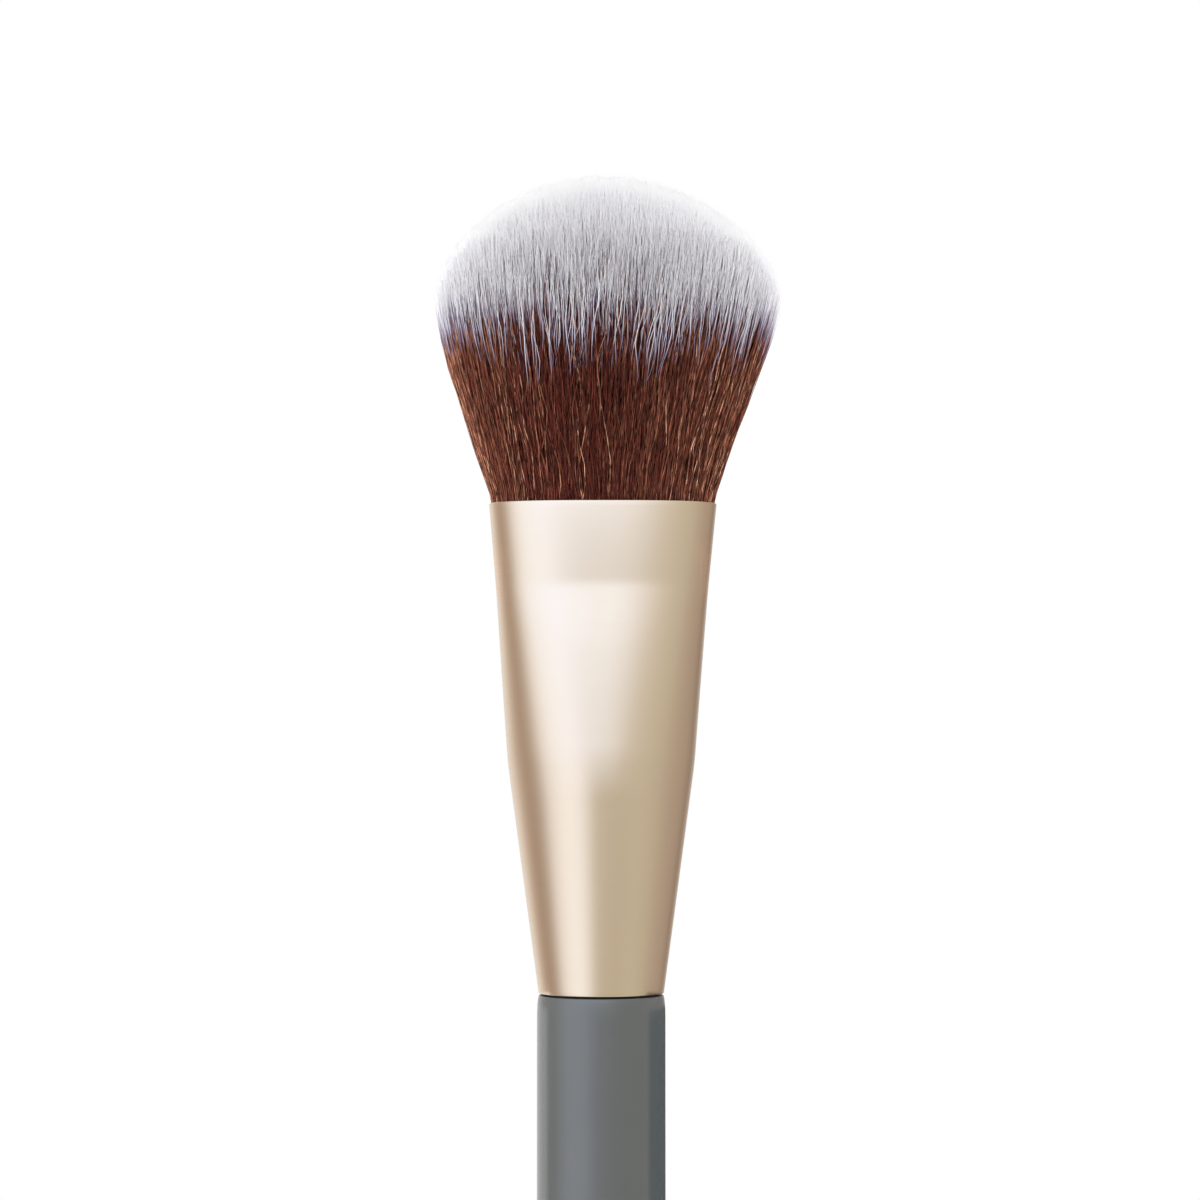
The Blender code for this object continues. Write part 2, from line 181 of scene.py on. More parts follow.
# Painted highlights along the filaments: patches that lighten or darken the browns and bring out the tan
SHADE_STEP = 7.3  # how far apart the patches of two shades lie in their noise
PATCHES_PER_MM = 0.8
PATCHES_TAN = (0.4, 0.6)
PATCHES_SPREAD = (0.36, 0.64)
PATCHES_VALUE = (0.42, 1.5)
FILAMENT_ROUGHNESS = 0.45
FILAMENT_SPECULAR = 0.2

# Grey lacquer, and the bare tenon painted near-black as the shade in the joint's gap
LACQUER_COLOURS = ((0.053, 0.065, 0.073), (0.061, 0.075, 0.083))
LACQUER_ROUGHNESS = (0.21, 0.24)
LACQUER_IOR = 2.0
LACQUER_TINT = (1.0, 0.93, 0.85)
LACQUER_EDGE = 0.02 * MM
# painted shade: the tenon is near-black so that the gap under the ferrule reads dark
TENON_SHADE_COLOUR = (0.012, 0.010, 0.009)
TENON_ROUGHNESS = 0.9

# Champagne metal, and on its two narrow sides rougher scuffs under a painted pinkish reflection
METAL_COLOURS = ((0.785, 0.665, 0.525), (0.815, 0.695, 0.555))
METAL_ROUGHNESS = (0.23, 0.27)
# painted reflection: this lighter pinkish colour stands in for light mirrored by dents at the crease's ends
PINK_REFLECTION_COLOUR = (0.95, 0.74, 0.57)
SCUFF_ROUGHNESS = 0.08  # how much rougher the metal is there
SCUFF_REFLECTION_INSIDE = 8.8 * MM  # where the scuffs and their painted reflection start on the way out to the sides
SCUFF_REFLECTION_BELOW = 1.9 * MM  # how far they reach below the crease
SCUFF_REFLECTION_ABOVE = 5.0 * MM  # and above it
SCRATCH_SPREAD = (0.35, 0.62)
SCRATCH_STRENGTH = (0.25, 1.0)

# Resin and glue
RESIN_COLOURS = ((0.58, 0.45, 0.26), (0.66, 0.54, 0.34))
RESIN_ROUGHNESS = 0.25
GLUE_COLOURS = ((0.76, 0.73, 0.64), (0.84, 0.82, 0.75))
GLUE_ROUGHNESS = 0.5
FINE_BUMP = 0.02 * MM

# Noise patterns: how many to the metre, and how much finer they are along each axis
MOTTLE_SCALE = 90.0
GRAIN_SCALE = 400.0
GRAIN_STRETCH = (1.0, 1.0, 12.0)
CLOUD_SCALE = 55.0
SCRATCH_SCALE = 900.0
SCRATCH_STRETCH = (2.0, 2.0, 0.12)
STREAK_SCALE = 260.0
GLUE_SCALE = 900.0
FLOOR_SCALE = 30.0
COARSE, FINE = 2.0, 3.0  # detail of a pattern
NOISE_SPREAD = (0.3, 0.7)  # the values that most of a pattern has

# Camera, from the photo: eye level and distance come from how the rim and the joint curve
CAMERA_DISTANCE = 370.0 * MM
CAMERA_HEIGHT = 118.9 * MM
CAMERA_SIDE = -0.12 * MM
CAMERA_PITCH = math.radians(2.151)
SENSOR = 36.0  # this and the lens are in millimetres, as on a camera
LENS = 111.0

# Lamps: name, aim, degrees round from the camera's side (positive to the right) and up, distance, width and
# height in metres, and watts
BRUSH_AIM = (0, 0, 0.13)
HEAD_AIM = (0, 0, MOUTH + HEAD_LENGTH / 2)
LAMPS = (
    ("key_softbox", BRUSH_AIM, -40, 30, 0.9, 1.0, 1.0, 4.3),
    ("top_softbox", BRUSH_AIM, 120, 68, 0.8, 0.9, 0.9, 5.6),
    ("left_rim", HEAD_AIM, -105, -4, 0.6, 0.3, 0.4, 2.8),
    ("right_rim", HEAD_AIM, 105, -4, 0.6, 0.3, 0.4, 2.2),
)

# The studio as the metal sees it: degrees round from the camera's side, positive to the right, and the
# colour there. Low down a large softbox stands to the left of the camera, and the backdrop is white.
LOW_RING = (
    (-180, (0.98, 0.95, 0.93)),
    (-152, (0.96, 0.91, 0.88)),
    (-138, (0.88, 0.81, 0.76)),
    (-124, (0.62, 0.52, 0.46)),
    (-108, (0.455, 0.34, 0.28)),
    (-94, (0.46, 0.37, 0.31)),
    (-84, (0.60, 0.54, 0.50)),
    (-73, (0.94, 0.92, 0.94)),
    (-58, (1.13, 1.15, 1.24)),
    (-44, (1.18, 1.24, 1.34)),
    (-29, (1.14, 1.17, 1.26)),
    (-20, (0.95, 0.94, 0.95)),
    (-8, (0.67, 0.63, 0.55)),
    (2, (0.62, 0.57, 0.475)),
    (24, (0.605, 0.555, 0.455)),
    (50, (0.66, 0.62, 0.525)),
    (74, (0.63, 0.585, 0.485)),
    (92, (0.555, 0.485, 0.41)),
    (110, (0.50, 0.42, 0.36)),
    (128, (0.46, 0.38, 0.32)),
    (146, (0.32, 0.24, 0.19)),
    (162, (0.60, 0.54, 0.50)),
    (180, (0.98, 0.95, 0.93)),
)
# High up a second softbox reaches from the left to the right of the camera
HIGH_RING = (
    (-180, (0.98, 0.95, 0.93)),
    (-152, (0.92, 0.86, 0.83)),
    (-138, (0.78, 0.69, 0.64)),
    (-124, (0.62, 0.52, 0.46)),
    (-108, (0.52, 0.41, 0.34)),
    (-94, (0.62, 0.55, 0.50)),
    (-80, (0.92, 0.90, 0.92)),
    (-62, (1.20, 1.31, 1.52)),
    (-30, (1.27, 1.41, 1.78)),
    (0, (1.23, 1.35, 1.58)),
    (12, (1.17, 1.25, 1.43)),
    (28, (0.95, 0.95, 0.98)),
    (46, (0.78, 0.75, 0.69)),
    (70, (0.66, 0.62, 0.54)),
    (92, (0.56, 0.50, 0.43)),
    (110, (0.50, 0.42, 0.36)),
    (128, (0.46, 0.38, 0.32)),
    (146, (0.32, 0.24, 0.19)),
    (162, (0.60, 0.54, 0.50)),
    (180, (0.98, 0.95, 0.93)),
)
# Sines of the elevations between which one ring turns into the other, into the ceiling and into the ground
LOW_TO_HIGH = (-0.28, 0.31)
TO_CEILING = (0.55, 0.85)
TO_GROUND = (-0.50, -0.85)
GROUND_COLOUR = (0.72, 0.70, 0.68)

# The fill that falls on surfaces: greys low and high in front of the brush and behind it, and how far up and
# how far back a direction points where they start and end to change
FRONT_FILL = (0.36, 0.70)
BACK_FILL = (0.95, 1.0)
FILL_UP = (-0.2, 0.9)
FILL_BACK = (-0.6, 0.5)

# A white strip lights the left edge of the handle and a black flag keeps the right one dark: name, degrees
# from and to, top and colour. Both end below the ferrule, so that it hardly mirrors them.
CARDS = (
    ("strip_card", -129, -84, HEEL - 1.4 * MM, (1.0, 0.98, 0.95)),
    ("black_flag", 70, 138.5, HEEL - 1.6 * MM, (0.12, 0.10, 0.07)),
)
CARD_RADIUS = 11 * MM
CARD_FOOT = 1 * MM
CARD_POINTS = 24

# Floor: it takes the shadow up to the first distance, in metres, and is plain white from the second on
FLOOR_RADIUS = 3.0
FLOOR_TO_WHITE = (0.18, 0.5)
FLOOR_SIDES = 96
FLOOR_GREYS = (0.86, 0.90)
FLOOR_ROUGHNESS = 0.9

rng = np.random.default_rng(SEED)


def new_material(name):
    material = bpy.data.materials.new(name)
    material.use_nodes = True
    return material, Nodes(material.node_tree)


class Nodes:
    """Short ways to add and link shader nodes."""

    def __init__(self, tree):
        self.tree = tree
        self.shader = tree.nodes.get("Principled BSDF")

    def add(self, kind, **settings):
        node = self.tree.nodes.new(f"ShaderNode{kind}")
        for name, value in settings.items():
            setattr(node, name, value)
        return node

    def put(self, source, target):
        if isinstance(source, bpy.types.NodeSocket):
            self.tree.links.new(source, target)
        else:
            target.default_value = source

    def math(self, operation, *values):
        node = self.add("Math", operation=operation)
        for value, target in zip(values, node.inputs):
            self.put(value, target)
        return node.outputs[0]

    def mix(self, factor, a, b):
        node = self.add("Mix", data_type="RGBA")
        self.put(factor, node.inputs["Factor"])
        self.put(a, node.inputs["A"])
        self.put(b, node.inputs["B"])
        return node.outputs["Result"]

    def ramp(self, value, low, high, to_low=0.0, to_high=1.0, kind="SMOOTHSTEP"):
        """Takes value from low..high to to_low..to_high."""
        node = self.add("MapRange", interpolation_type=kind)
        for source, target in zip((value, low, high, to_low, to_high), node.inputs):
            self.put(source, target)
        return node.outputs["Result"]

    def noise(self, vector, scale, detail, stretch=None):
        if stretch:
            node = self.add("Mapping")
            node.inputs["Scale"].default_value = stretch
            self.put(vector, node.inputs["Vector"])
            vector = node.outputs["Vector"]
        node = self.add("TexNoise")
        node.inputs["Scale"].default_value = scale
        node.inputs["Detail"].default_value = detail
        self.put(vector, node.inputs["Vector"])
        return node.outputs["Fac"]

    def place(self):
        return self.add("TexCoord").outputs["Object"]

    def split(self, vector):
        """The three parts of a vector."""
        node = self.add("SeparateXYZ")
        self.put(vector, node.inputs["Vector"])
        return node.outputs

    def seen(self, rays):
        """1 for rays that come from the camera, straight or through glass."""
        return self.math("MAXIMUM", rays.outputs["Is Camera Ray"], rays.outputs["Is Transmission Ray"])

    def bump(self, height, distance):
        node = self.add("Bump")
        node.inputs["Strength"].default_value = 1.0
        node.inputs["Distance"].default_value = distance
        self.put(height, node.inputs["Height"])
        self.put(node.outputs["Normal"], self.shader.inputs["Normal"])

    def set(self, **values):
        """Sets or links inputs of the shader, with _ for each space in a name."""
        for name, value in values.items():
            self.put(value, self.shader.inputs[name.replace("_", " ")])


def rgb(red, green, blue):
    return (red, green, blue, 1.0)


def grey(level):
    return rgb(level, level, level)


def lacquer_material():
    """Faintly mottled grey lacquer up to the shoulder, and bare wood on the tenon, painted near-black as the
    shade in the joint's gap.
    """
    material, nodes = new_material("grey_lacquer")
    place = nodes.place()
    up = nodes.split(place)["Z"]
    bare = nodes.ramp(up, SHOULDER - LACQUER_EDGE, SHOULDER + LACQUER_EDGE)
    mottle = nodes.noise(place, MOTTLE_SCALE, FINE)
    lacquer = nodes.mix(mottle, *(rgb(*colour) for colour in LACQUER_COLOURS))
    satin = nodes.ramp(mottle, *NOISE_SPREAD, *LACQUER_ROUGHNESS)
    # Painted shade: the tenon's near-black colour darkens the gap between ferrule and shoulder
    nodes.set(
        Base_Color=nodes.mix(bare, lacquer, rgb(*TENON_SHADE_COLOUR)),
        Roughness=nodes.math("MAXIMUM", satin, nodes.math("MULTIPLY", bare, TENON_ROUGHNESS)),
        IOR=LACQUER_IOR,
        Specular_Tint=rgb(*LACQUER_TINT),
    )
    return material


def champagne_material():
    """Champagne anodised aluminium with a satin grain, scuffed rougher where the press held its two narrow
    sides, with a painted pinkish reflection there.
    """
    material, nodes = new_material("champagne_anodised")
    place = nodes.place()
    grain = nodes.noise(place, GRAIN_SCALE, FINE, GRAIN_STRETCH)
    cloud = nodes.noise(place, CLOUD_SCALE, COARSE)
    across, _, up = nodes.split(place)
    side = nodes.ramp(nodes.math("ABSOLUTE", across), SCUFF_REFLECTION_INSIDE, MOUTH_HALF_WIDTH - LIP_FLARE)
    below = nodes.ramp(up, CREASE - SCUFF_REFLECTION_BELOW, CREASE)
    above = nodes.ramp(up, CREASE + SCUFF_REFLECTION_ABOVE, CREASE + SCUFF_REFLECTION_ABOVE / 2)
    scratch = nodes.noise(place, SCRATCH_SCALE, COARSE, SCRATCH_STRETCH)
    scratch = nodes.ramp(scratch, *SCRATCH_SPREAD, *SCRATCH_STRENGTH)
    at_crease = nodes.math("MULTIPLY", below, above)
    scuff_and_reflection = nodes.math("MULTIPLY", nodes.math("MULTIPLY", side, scratch), at_crease)
    metal = nodes.mix(cloud, *(rgb(*colour) for colour in METAL_COLOURS))
    satin = nodes.ramp(grain, *NOISE_SPREAD, *METAL_ROUGHNESS)
    # The scuffs are rougher, and their lighter pinkish colour is a painted reflection
    nodes.set(
        Base_Color=nodes.mix(scuff_and_reflection, metal, rgb(*PINK_REFLECTION_COLOUR)),
        Roughness=nodes.math("ADD", satin, nodes.math("MULTIPLY", scuff_and_reflection, SCUFF_ROUGHNESS)),
        Metallic=1.0,
    )
    return material


def filament_material():
    """Tapered filaments dyed red-brown, with undyed tips. Each shade is a column of the strand map.

    Across the map runs the filament's shade number, and up it runs the place along the filament, from
    LONGEST below the tip to the tip itself.
    """
    material, nodes = new_material("two_tone_filament")
    column, row, _ = nodes.split(nodes.add("UVMap", uv_map="strand").outputs["UV"])
    shade = nodes.math("FLOOR", nodes.math("MULTIPLY", column, float(SHADES)))
    below_tip = nodes.math("MULTIPLY", nodes.math("SUBTRACT", 1.0, row), LONGEST / MM)
    warmth = nodes.math("DIVIDE", shade, float(SHADES))
    # Lighter and darker stretches along each filament: painted highlights and shade where wavy filaments
    # catch the light
    spot = nodes.add("CombineXYZ")
    nodes.put(nodes.math("MULTIPLY", shade, SHADE_STEP), spot.inputs["X"])
    nodes.put(nodes.math("MULTIPLY", below_tip, PATCHES_PER_MM), spot.inputs["Y"])
    glint_patch = nodes.noise(spot.outputs["Vector"], 1.0, COARSE)
    brown = nodes.mix(nodes.ramp(warmth, *TO_RED), rgb(*DEEP_BROWN), rgb(*RED_BROWN))
    brown = nodes.mix(nodes.ramp(warmth, *TO_LIGHT), brown, rgb(*LIGHT_BROWN))
    tan = nodes.math("MULTIPLY", nodes.ramp(warmth, *TO_TAN), nodes.ramp(glint_patch, *PATCHES_TAN))
    brown = nodes.mix(tan, brown, rgb(*TAN))
    tone = nodes.add("HueSaturation")
    nodes.put(nodes.ramp(glint_patch, *PATCHES_SPREAD, *PATCHES_VALUE), tone.inputs["Value"])
    nodes.put(brown, tone.inputs["Color"])
    # The pale greys down each filament: partly dye, partly painted shade of the tuft's depth
    pale = nodes.mix(nodes.ramp(below_tip, *PALE_TO_SHADED), rgb(*TIP_PALE), rgb(*SHADED_LOWER_PALE))
    # The dye bleeds up through a thin violet zone
    start = DYE_PLACE / MM
    bleeding = nodes.ramp(below_tip, *(start + place for place in BLEEDING))
    dyed = nodes.ramp(below_tip, *(start + place for place in DYEING))
    pale = nodes.mix(bleeding, pale, rgb(*VIOLET))
    nodes.set(
        Base_Color=nodes.mix(dyed, pale, tone.outputs["Color"]),
        Roughness=FILAMENT_ROUGHNESS,
        Specular_IOR_Level=FILAMENT_SPECULAR,
    )
    return material


def streaked_material(name, scale, colours, roughness):
    """A finish whose colour and height vary with one fine pattern."""
    material, nodes = new_material(name)
    pattern = nodes.noise(nodes.place(), scale, FINE)
    nodes.set(Base_Color=nodes.mix(pattern, *(rgb(*colour) for colour in colours)), Roughness=roughness)
    nodes.bump(pattern, FINE_BUMP)
    return material


def add_mesh(name, verts, faces, material):
    mesh = bpy.data.meshes.new(name)
    mesh.from_pydata(verts, [], faces)
    mesh.shade_smooth()
    mesh.materials.append(material)
    made = bpy.data.objects.new(name, mesh)
    bpy.context.scene.collection.objects.link(made)
    return made


def rounded_line(height, knots):
    """The size at these heights on a line through (height, size, rounding) knots, its corners rounded."""
    places, sizes, roundings = np.array(knots).T
    slopes = np.diff(sizes) / np.diff(places)
    value = sizes[0] + slopes[0] * (height - places[0])
    for place, turn, rounding in zip(places[1:], np.diff(slopes), roundings[1:]):
        past = height - place
        soft = (np.clip(past, -rounding, rounding) + rounding) ** 2 / (4 * rounding)
        value = value + turn * (soft + np.maximum(past - rounding, 0))
    return value


def width_knots():
    """Half the ferrule's width: a cone, then a gentler cone, then the slightly flared lip."""
    crease_width = MOUTH_HALF_WIDTH - LIP_FLARE
    return (
        (HEEL, HEEL_RADIUS, 0),
        (SIDE_WAIST, WAIST_RADIUS, WAIST_ROUNDING),
        (CREASE, crease_width, CREASE_ROUNDING),
        (MOUTH, MOUTH_HALF_WIDTH, 0),
    )


def depth_knots():
    """Half the ferrule's depth: the same cone, then pressed more and more up to the crease, then level."""
    taper = (WAIST_RADIUS - HEEL_RADIUS) / (SIDE_WAIST - HEEL)
    waist_depth, crease_depth = HEEL_RADIUS + taper * (WAIST - HEEL), MOUTH_HALF_DEPTH + LIP_PINCH
    rise = PRESSED_LENGTH / (len(PRESS_SHARES) + 1)
    knots = [(HEEL, HEEL_RADIUS, 0), (WAIST, waist_depth, PRESS_ROUNDING)]
    for step, share in enumerate(PRESS_SHARES, 1):
        knots.append((WAIST + step * rise, waist_depth - share * (waist_depth - crease_depth), rise / 2))
    knots.append((CREASE, crease_depth, CREASE_ROUNDING))
    knots.append((MOUTH, crease_depth, 0))
    return knots


def ferrule_section(height, inset):
    """The ferrule's outline at these heights, this far inside its outer face: levels by sides by 3."""
    height, inset = np.broadcast_arrays(np.asarray(height, float), inset)
    wide, deep = rounded_line(height, width_knots()), rounded_line(height, depth_knots())
    # The lip is pinched in more and more towards the mouth
    deep = deep - LIP_PINCH * np.clip((height - CREASE) / LIP_LENGTH, 0, 1) ** LIP_PINCH_POWER
    pressed = np.clip((height - WAIST) / PRESSED_LENGTH, 0, 1)
    power = 2 / (2 + (MOUTH_SQUARENESS - 2) * pressed)[:, None]
    turn = np.linspace(0, math.tau, FERRULE_SIDES, endpoint=False)
    across, back = np.cos(turn)[None], np.sin(turn)[None]
    x = (wide - inset)[:, None] * np.sign(across) * np.abs(across) ** power
    x += MOUTH_LEAN * (np.clip(height - WAIST, 0, None) / (MOUTH - WAIST))[:, None] ** MOUTH_LEAN_POWER
    y = (deep - inset)[:, None] * np.sign(back) * np.abs(back) ** power
    return np.stack([x, y, np.broadcast_to(height[:, None], x.shape)], axis=2)


def make_ferrule(material):
    """The tube wall as one closed skin: up the outside, round the lip, down inside and round the heel."""
    turn = np.linspace(0, math.pi / 2, EDGE_STEPS)
    rise, sink = EDGE_ROUNDING * np.sin(turn), EDGE_ROUNDING * (1 - np.cos(turn))
    levels = np.linspace(HEEL + EDGE_ROUNDING, MOUTH - EDGE_ROUNDING, FERRULE_LEVELS)
    heights = [HEEL + EDGE_ROUNDING - rise[:0:-1], levels, MOUTH - EDGE_ROUNDING + rise[1:]]
    insets = [sink[:0:-1], np.zeros(FERRULE_LEVELS), sink[1:]]
    inner = levels[::-INNER_STRIDE]
    heights += [MOUTH - EDGE_ROUNDING + rise[:0:-1], inner, HEEL + EDGE_ROUNDING - rise[1:]]
    insets += [WALL - sink[:0:-1], np.full(len(inner), WALL), WALL - sink[1:]]
    rings = ferrule_section(np.concatenate(heights), np.concatenate(insets))
    count = len(rings)
    verts = rings.reshape(-1, 3)
    level, side = np.meshgrid(np.arange(count), np.arange(FERRULE_SIDES), indexing="ij")
    above, beside = (level + 1) % count, (side + 1) % FERRULE_SIDES
    corners = [level * FERRULE_SIDES + side, level * FERRULE_SIDES + beside]
    corners += [above * FERRULE_SIDES + beside, above * FERRULE_SIDES + side]
    faces = np.stack(corners, axis=2).reshape(-1, 4)
    return add_mesh("ferrule_shell", verts.tolist(), faces.tolist(), material)


def quarter_arc(start, corner, end):
    """Points of a quarter ellipse from start to end, both (radius, height), bulging towards corner."""
    start, corner, end = np.array(start), np.array(corner), np.array(end)
    turn = np.linspace(0, math.pi / 2, ARC_STEPS + 1)[:, None]
    return start + end - corner + (corner - end) * np.cos(turn) + (corner - start) * np.sin(turn)


def handle_profile():
    """The handle's half outline as (radius, height), from the butt's flat face to the tenon's end."""
    butt = quarter_arc(
        (HANDLE_RADIUS - BUTT_ROUNDING, 0),
        (HANDLE_RADIUS, 0),
        (HANDLE_RADIUS, BUTT_ROUNDING),
    )
    shoulder = quarter_arc(
        (HANDLE_RADIUS, SHOULDER - SHOULDER_HEIGHT),
        (HANDLE_RADIUS, SHOULDER),
        (HANDLE_RADIUS - SHOULDER_DEPTH, SHOULDER),
    )
    end = handle_high.z
    tenon = [
        (TENON_RADIUS, SHOULDER),
        (TENON_RADIUS, end - TENON_CHAMFER),
        (TENON_RADIUS - TENON_CHAMFER, end),
    ]
    return np.concatenate([butt, shoulder, tenon])


def make_handle(material):
    """The handle's outline turned round, with a flat face at each end."""
    profile = handle_profile()
    turn = np.linspace(0, math.tau, HANDLE_SIDES, endpoint=False)
    radius, height = profile[:, :1], np.broadcast_to(profile[:, 1:], (len(profile), HANDLE_SIDES))
    verts = np.stack([radius * np.cos(turn), radius * np.sin(turn), height], axis=2).reshape(-1, 3)
    level, side = np.meshgrid(np.arange(len(profile) - 1), np.arange(HANDLE_SIDES), indexing="ij")
    here, beside = level * HANDLE_SIDES + side, level * HANDLE_SIDES + (side + 1) % HANDLE_SIDES
    corners = [here, beside, beside + HANDLE_SIDES, here + HANDLE_SIDES]
    faces = np.stack(corners, axis=2).reshape(-1, 4).tolist()
    faces.append(list(range(HANDLE_SIDES))[::-1])
    faces.append(list(range(len(verts) - HANDLE_SIDES, len(verts))))
    made = add_mesh("handle_turned", verts.tolist(), faces, material)
    made.data.set_sharp_from_angle(angle=SHARP_ANGLE)
    return made


def sunflower(count):
    """Points spread evenly over the unit disc."""
    index = np.arange(count)
    radius, turn = np.sqrt((index + 0.5) / count), index * math.pi * (3 - math.sqrt(5))
    return np.stack([radius * np.cos(turn), radius * np.sin(turn)], axis=1)


def nearest(points, centres):
    """The centre nearest to each point, in blocks to save memory."""
    found = np.empty(len(points), int)
    for start in range(0, len(points), NEAREST_BLOCK):
        block = points[start : start + NEAREST_BLOCK]
        gaps = np.linalg.norm(block[:, None] - centres[None], axis=2)
        found[start : start + NEAREST_BLOCK] = gaps.argmin(axis=1)
    return found


def smooth(value):
    """Goes softly from 0 to 1 where value does, and stays level outside."""
    value = np.clip(value, 0, 1)
    return value * value * (3 - 2 * value)


def grow_filaments():
    """For each filament: root, tip, height, lean, pull to its clump, sway, spread and undyed length."""
    disc = sunflower(FILAMENTS)
    disc = disc + rng.normal(0, PLACE_SCATTER / math.sqrt(FILAMENTS), (FILAMENTS, 2))
    disc /= np.maximum(1, np.linalg.norm(disc, axis=1))[:, None]
    centres = sunflower(CLUMPS) + rng.normal(0, CLUMP_SCATTER / math.sqrt(CLUMPS), (CLUMPS, 2))
    clump = nearest(disc, centres)
    spread = np.linalg.norm(disc, axis=1)
    turn = np.arctan2(disc[:, 1], disc[:, 0])
    boxy = np.abs(np.cos(turn)) ** MOUTH_SQUARENESS + np.abs(np.sin(turn)) ** MOUTH_SQUARENESS
    root = disc * (boxy ** (-1 / MOUTH_SQUARENESS))[:, None] * ROOT_SIZE
    root[:, 0] += MOUTH_LEAN
    gather = (centres[clump] - disc) * rng.uniform(*CLUMP_PULLS, CLUMPS)[clump][:, None]

    tip = disc * HEAD_SIZE + rng.normal(0, TIP_SCATTER, disc.shape)
    stray = rng.random(FILAMENTS) < STRAY_SHARE
    tip[stray] *= rng.uniform(1.0, STRAY_REACH, (stray.sum(), 1))
    tip[:, 0] += MOUTH_LEAN
    lean = (BELLY_LEAN - MOUTH_LEAN) * spread**2
    rise = (1 - np.minimum(spread, 1) ** DOME_POWER) ** (1 / DOME_POWER)
    top = BELLY_HEIGHT + (HEAD_LENGTH - BELLY_HEIGHT) * rise
    top -= rng.exponential(TIP_SHORTFALL, FILAMENTS) + rng.uniform(0, CLUMP_SHORTFALL, CLUMPS)[clump]

    sway = grow_sway(spread, turn)
    undyed = draw_undyed(disc[:, 1], clump)
    return root, tip, top, lean, gather, sway, spread, undyed


def grow_sway(spread, turn):
    """How far each filament swings to and fro in each of its waves, as waves by filaments by 2."""
    sway = rng.normal(0, 1, (len(WAVES), FILAMENTS, 2)) * WAVES[:, None, None]
    sway[:WANDERING_WAVES, rng.random(FILAMENTS) < WANDERING_SHARE] *= WANDERING
    outward = np.stack([np.cos(turn), np.sin(turn)], axis=1)
    stilled = (STILLED + STILLED_MORE * np.cos(turn) ** 2) * smooth((spread - STILLED_FROM) / STILLED_OVER)
    return sway - (sway * outward).sum(axis=2, keepdims=True) * outward * stilled[:, None]


def draw_undyed(back, clump):
    """The undyed length of each filament, by how far back in the head (or in front, below 0) it stands."""
    own = rng.random(FILAMENTS) < OWN_DRAW_SHARE
    draw = np.where(own, rng.beta(*UNDYED_BETA, FILAMENTS), rng.beta(*UNDYED_BETA, CLUMPS)[clump])
    least = UNDYED_LEAST + UNDYED_EVEN * np.clip(1 - back**2, 0, 1) ** UNDYED_EVEN_POWER
    undyed = least + (UNDYED_MOST - least) * np.minimum(draw, LONGEST_DRAW)
    undyed *= SIDE_UNDYED_SHARE + (1 - SIDE_UNDYED_SHARE) * back**2
    late = rng.random(FILAMENTS) < LATE_SHARE
    undyed[late] += rng.uniform(*LATE_MM, late.sum()) * MM
    return undyed


def filament_paths(root, tip, top, lean, gather, sway, share):
    """Middles of the filaments at these shares of their free length. Below 0 they are inside the mouth."""
    up = np.clip(share, 0, 1)[..., None]
    across = up + BULGE * np.sin(math.pi * up**2)
    flat = root[:, None] + (tip - root)[:, None] * across
    flat[..., 0] += lean[:, None] * up[..., 0] ** 2
    # Clumps close up below their tips, and open again towards the mouth
    size = ROOT_SIZE + (HEAD_SIZE - ROOT_SIZE) * across
    flat += gather[:, None] * size * np.sin(math.pi * up**CLUMP_PULL_POWER)
    for half_waves, swing in enumerate(sway, 1):
        flat += swing[:, None] * np.sin(math.pi * half_waves * up)
    height = MOUTH + share * top[:, None]
    return np.concatenate([flat, height[..., None]], axis=2)


def dye_place(below_tip, undyed):
    """The place down the colour chart: the undyed length is stretched or squeezed to DYE_PLACE."""
    return np.where(below_tip < undyed, below_tip * DYE_PLACE / undyed, DYE_PLACE + below_tip - undyed)


def tube_faces(rings):
    """The corners of one tube's faces, of four and of three corners. Its last ring is a single point."""
    quads, tris = [], [tuple(reversed(range(TUBE_SIDES)))]
    for level in range(rings - 2):
        for side in range(TUBE_SIDES):
            a = level * TUBE_SIDES + side
            b = level * TUBE_SIDES + (side + 1) % TUBE_SIDES
            quads.append((a, b, b + TUBE_SIDES, a + TUBE_SIDES))
    last, point = (rings - 2) * TUBE_SIDES, (rings - 1) * TUBE_SIDES
    for side in range(TUBE_SIDES):
        tris.append((last + side, last + (side + 1) % TUBE_SIDES, point))
    return np.array(quads), np.array(tris)


def tubes(name, paths, radii, shades, below_tip, material):
    """Tubes that end in a point, with a colour chart across and along them."""
    count, rings = radii.shape
    phase = rng.uniform(0, math.tau, count)
    turn = phase[:, None] + np.arange(TUBE_SIDES) * math.tau / TUBE_SIDES
    ring = np.stack([np.cos(turn), np.sin(turn), np.zeros_like(turn)], axis=2)
    body = paths[:, :-1, None] + ring[:, None] * radii[:, :-1, None, None]
    verts = np.concatenate([body.reshape(count, -1, 3), paths[:, -1:]], axis=1)
    start = np.arange(count)[:, None, None] * verts.shape[1]
    faces = []
    for corners in tube_faces(rings):
        faces += (start + corners).reshape(-1, corners.shape[1]).tolist()
    made = add_mesh(name, verts.reshape(-1, 3).tolist(), faces, material)

    across = np.concatenate([np.tile(COLUMN_PLACES, rings - 1), [COLUMN_PLACES[1]]])
    along = np.concatenate([np.repeat(below_tip[:, :-1], TUBE_SIDES, axis=1), below_tip[:, -1:]], axis=1)
    chart = np.stack([(shades[:, None] + across) / SHADES, 1 - along / LONGEST], axis=2).reshape(-1, 2)
    corner = np.empty(len(made.data.loops), np.int32)
    made.data.loops.foreach_get("vertex_index", corner)
    for layer in ("strand", "OFBake"):
        uv = made.data.uv_layers.new(name=layer)
        uv.uv.foreach_set("vector", chart[corner].astype(np.float32).ravel())
    return made


